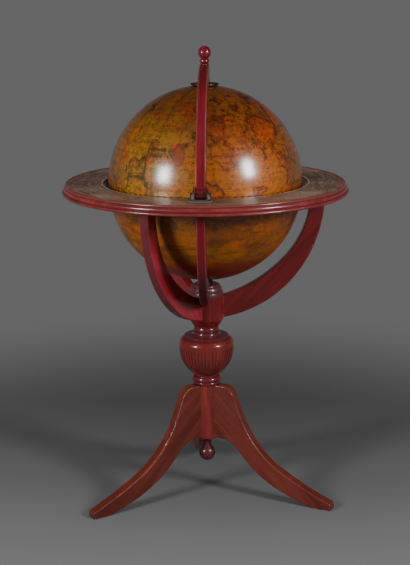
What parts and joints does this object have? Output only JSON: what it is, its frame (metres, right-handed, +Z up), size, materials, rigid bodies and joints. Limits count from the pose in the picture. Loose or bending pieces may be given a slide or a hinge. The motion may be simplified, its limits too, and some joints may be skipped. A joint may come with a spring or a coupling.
{
  "type": "globe bar",
  "caption": "Floor-standing globe bar: a hinged, two-part sphere turns inside a horizon ring on a three-armed cradle, an urn column and a sabre-legged tripod.",
  "frame": {"origin": "on the floor, under the column's axis", "axes": "+Z up along the column; the meridian arm's hinge is on the -Y side, and the lid tilts open towards -Y"},
  "size_m": [0.5898, 0.5898, 0.9485],
  "materials": {
    "mahogany_red": "red mahogany stain under gloss lacquer, worn at the arrises",
    "mahogany_base": "warmer red-brown mahogany under satin lacquer",
    "plain_beech": "raw",
    "rack_wood": "stained, satin",
    "bright_steel": "zinc plated",
    "aged_brass": "dulled",
    "dark_brass": "tarnished",
    "ring_print": "varnished print, worn",
    "globe_print": "pressed wood shell with a printed and varnished skin",
    "rim_wood": "light tan, varnished",
    "lining_paper": "matt varnished paper"
  },
  "bodies": {
    "stand": {"tripod_post": "mahogany_base", "leg_1": "mahogany_base", "leg_2": "mahogany_base", "leg_3": "mahogany_base", "leg_dowels": "plain_beech", "pendant_finial": "mahogany_red", "column_urn": "mahogany_red", "tie_rod": "bright_steel", "hub_insert": "aged_brass", "cradle_hub": "mahogany_red", "arm_dowels": "plain_beech", "cradle_arm_1": "mahogany_red", "cradle_arm_2": "mahogany_red", "cradle_arm_3": "mahogany_red", "ring_screws": "bright_steel", "horizon_ring": "mahogany_red", "ring_paper": "ring_print", "meridian_lower": "mahogany_red", "hinge_base": "aged_brass", "hinge_pin": "aged_brass", "base_screws": "aged_brass", "pivot_bolt": "bright_steel", "pivot_collar": "aged_brass", "pivot_washer": "bright_steel", "pivot_nut": "bright_steel"},
    "arm": {"meridian_arm": "mahogany_red", "hinge_shoe": "aged_brass", "shoe_screw": "aged_brass", "polar_spacer": "dark_brass", "polar_disc": "dark_brass", "polar_bolt": "bright_steel", "polar_washer": "bright_steel", "polar_nut": "bright_steel", "finial": "mahogany_red"},
    "lid": {"lid_shell": "globe_print", "lid_lining": "lining_paper", "lid_rim": "rim_wood", "lid_pole_block": "plain_beech"},
    "bowl": {"bowl_shell": "globe_print", "bowl_lining": "lining_paper", "bowl_rim": "rim_wood", "bowl_pivot_block": "plain_beech", "rack_floor": "rack_wood", "rack_deck": "rack_wood", "rack_post_1": "aged_brass", "rack_post_2": "aged_brass", "rack_post_3": "aged_brass", "rack_screws": "aged_brass"}
  },
  "joints": [
    {"name": "lid_hinge", "type": "hinge", "parent": "stand", "child": "arm", "pos_m": [0, -0.238, 0.6839], "axis": [1, 0, 0], "range_deg": [0, 92]},
    {"name": "lid_spin", "type": "hinge", "parent": "arm", "child": "lid", "pos_m": [0, 0, 0.87], "axis": [0, 0, 1], "continuous": true},
    {"name": "bowl_spin", "type": "hinge", "parent": "stand", "child": "bowl", "pos_m": [0, 0, 0.47], "axis": [0, 0, 1], "continuous": true}
  ]
}
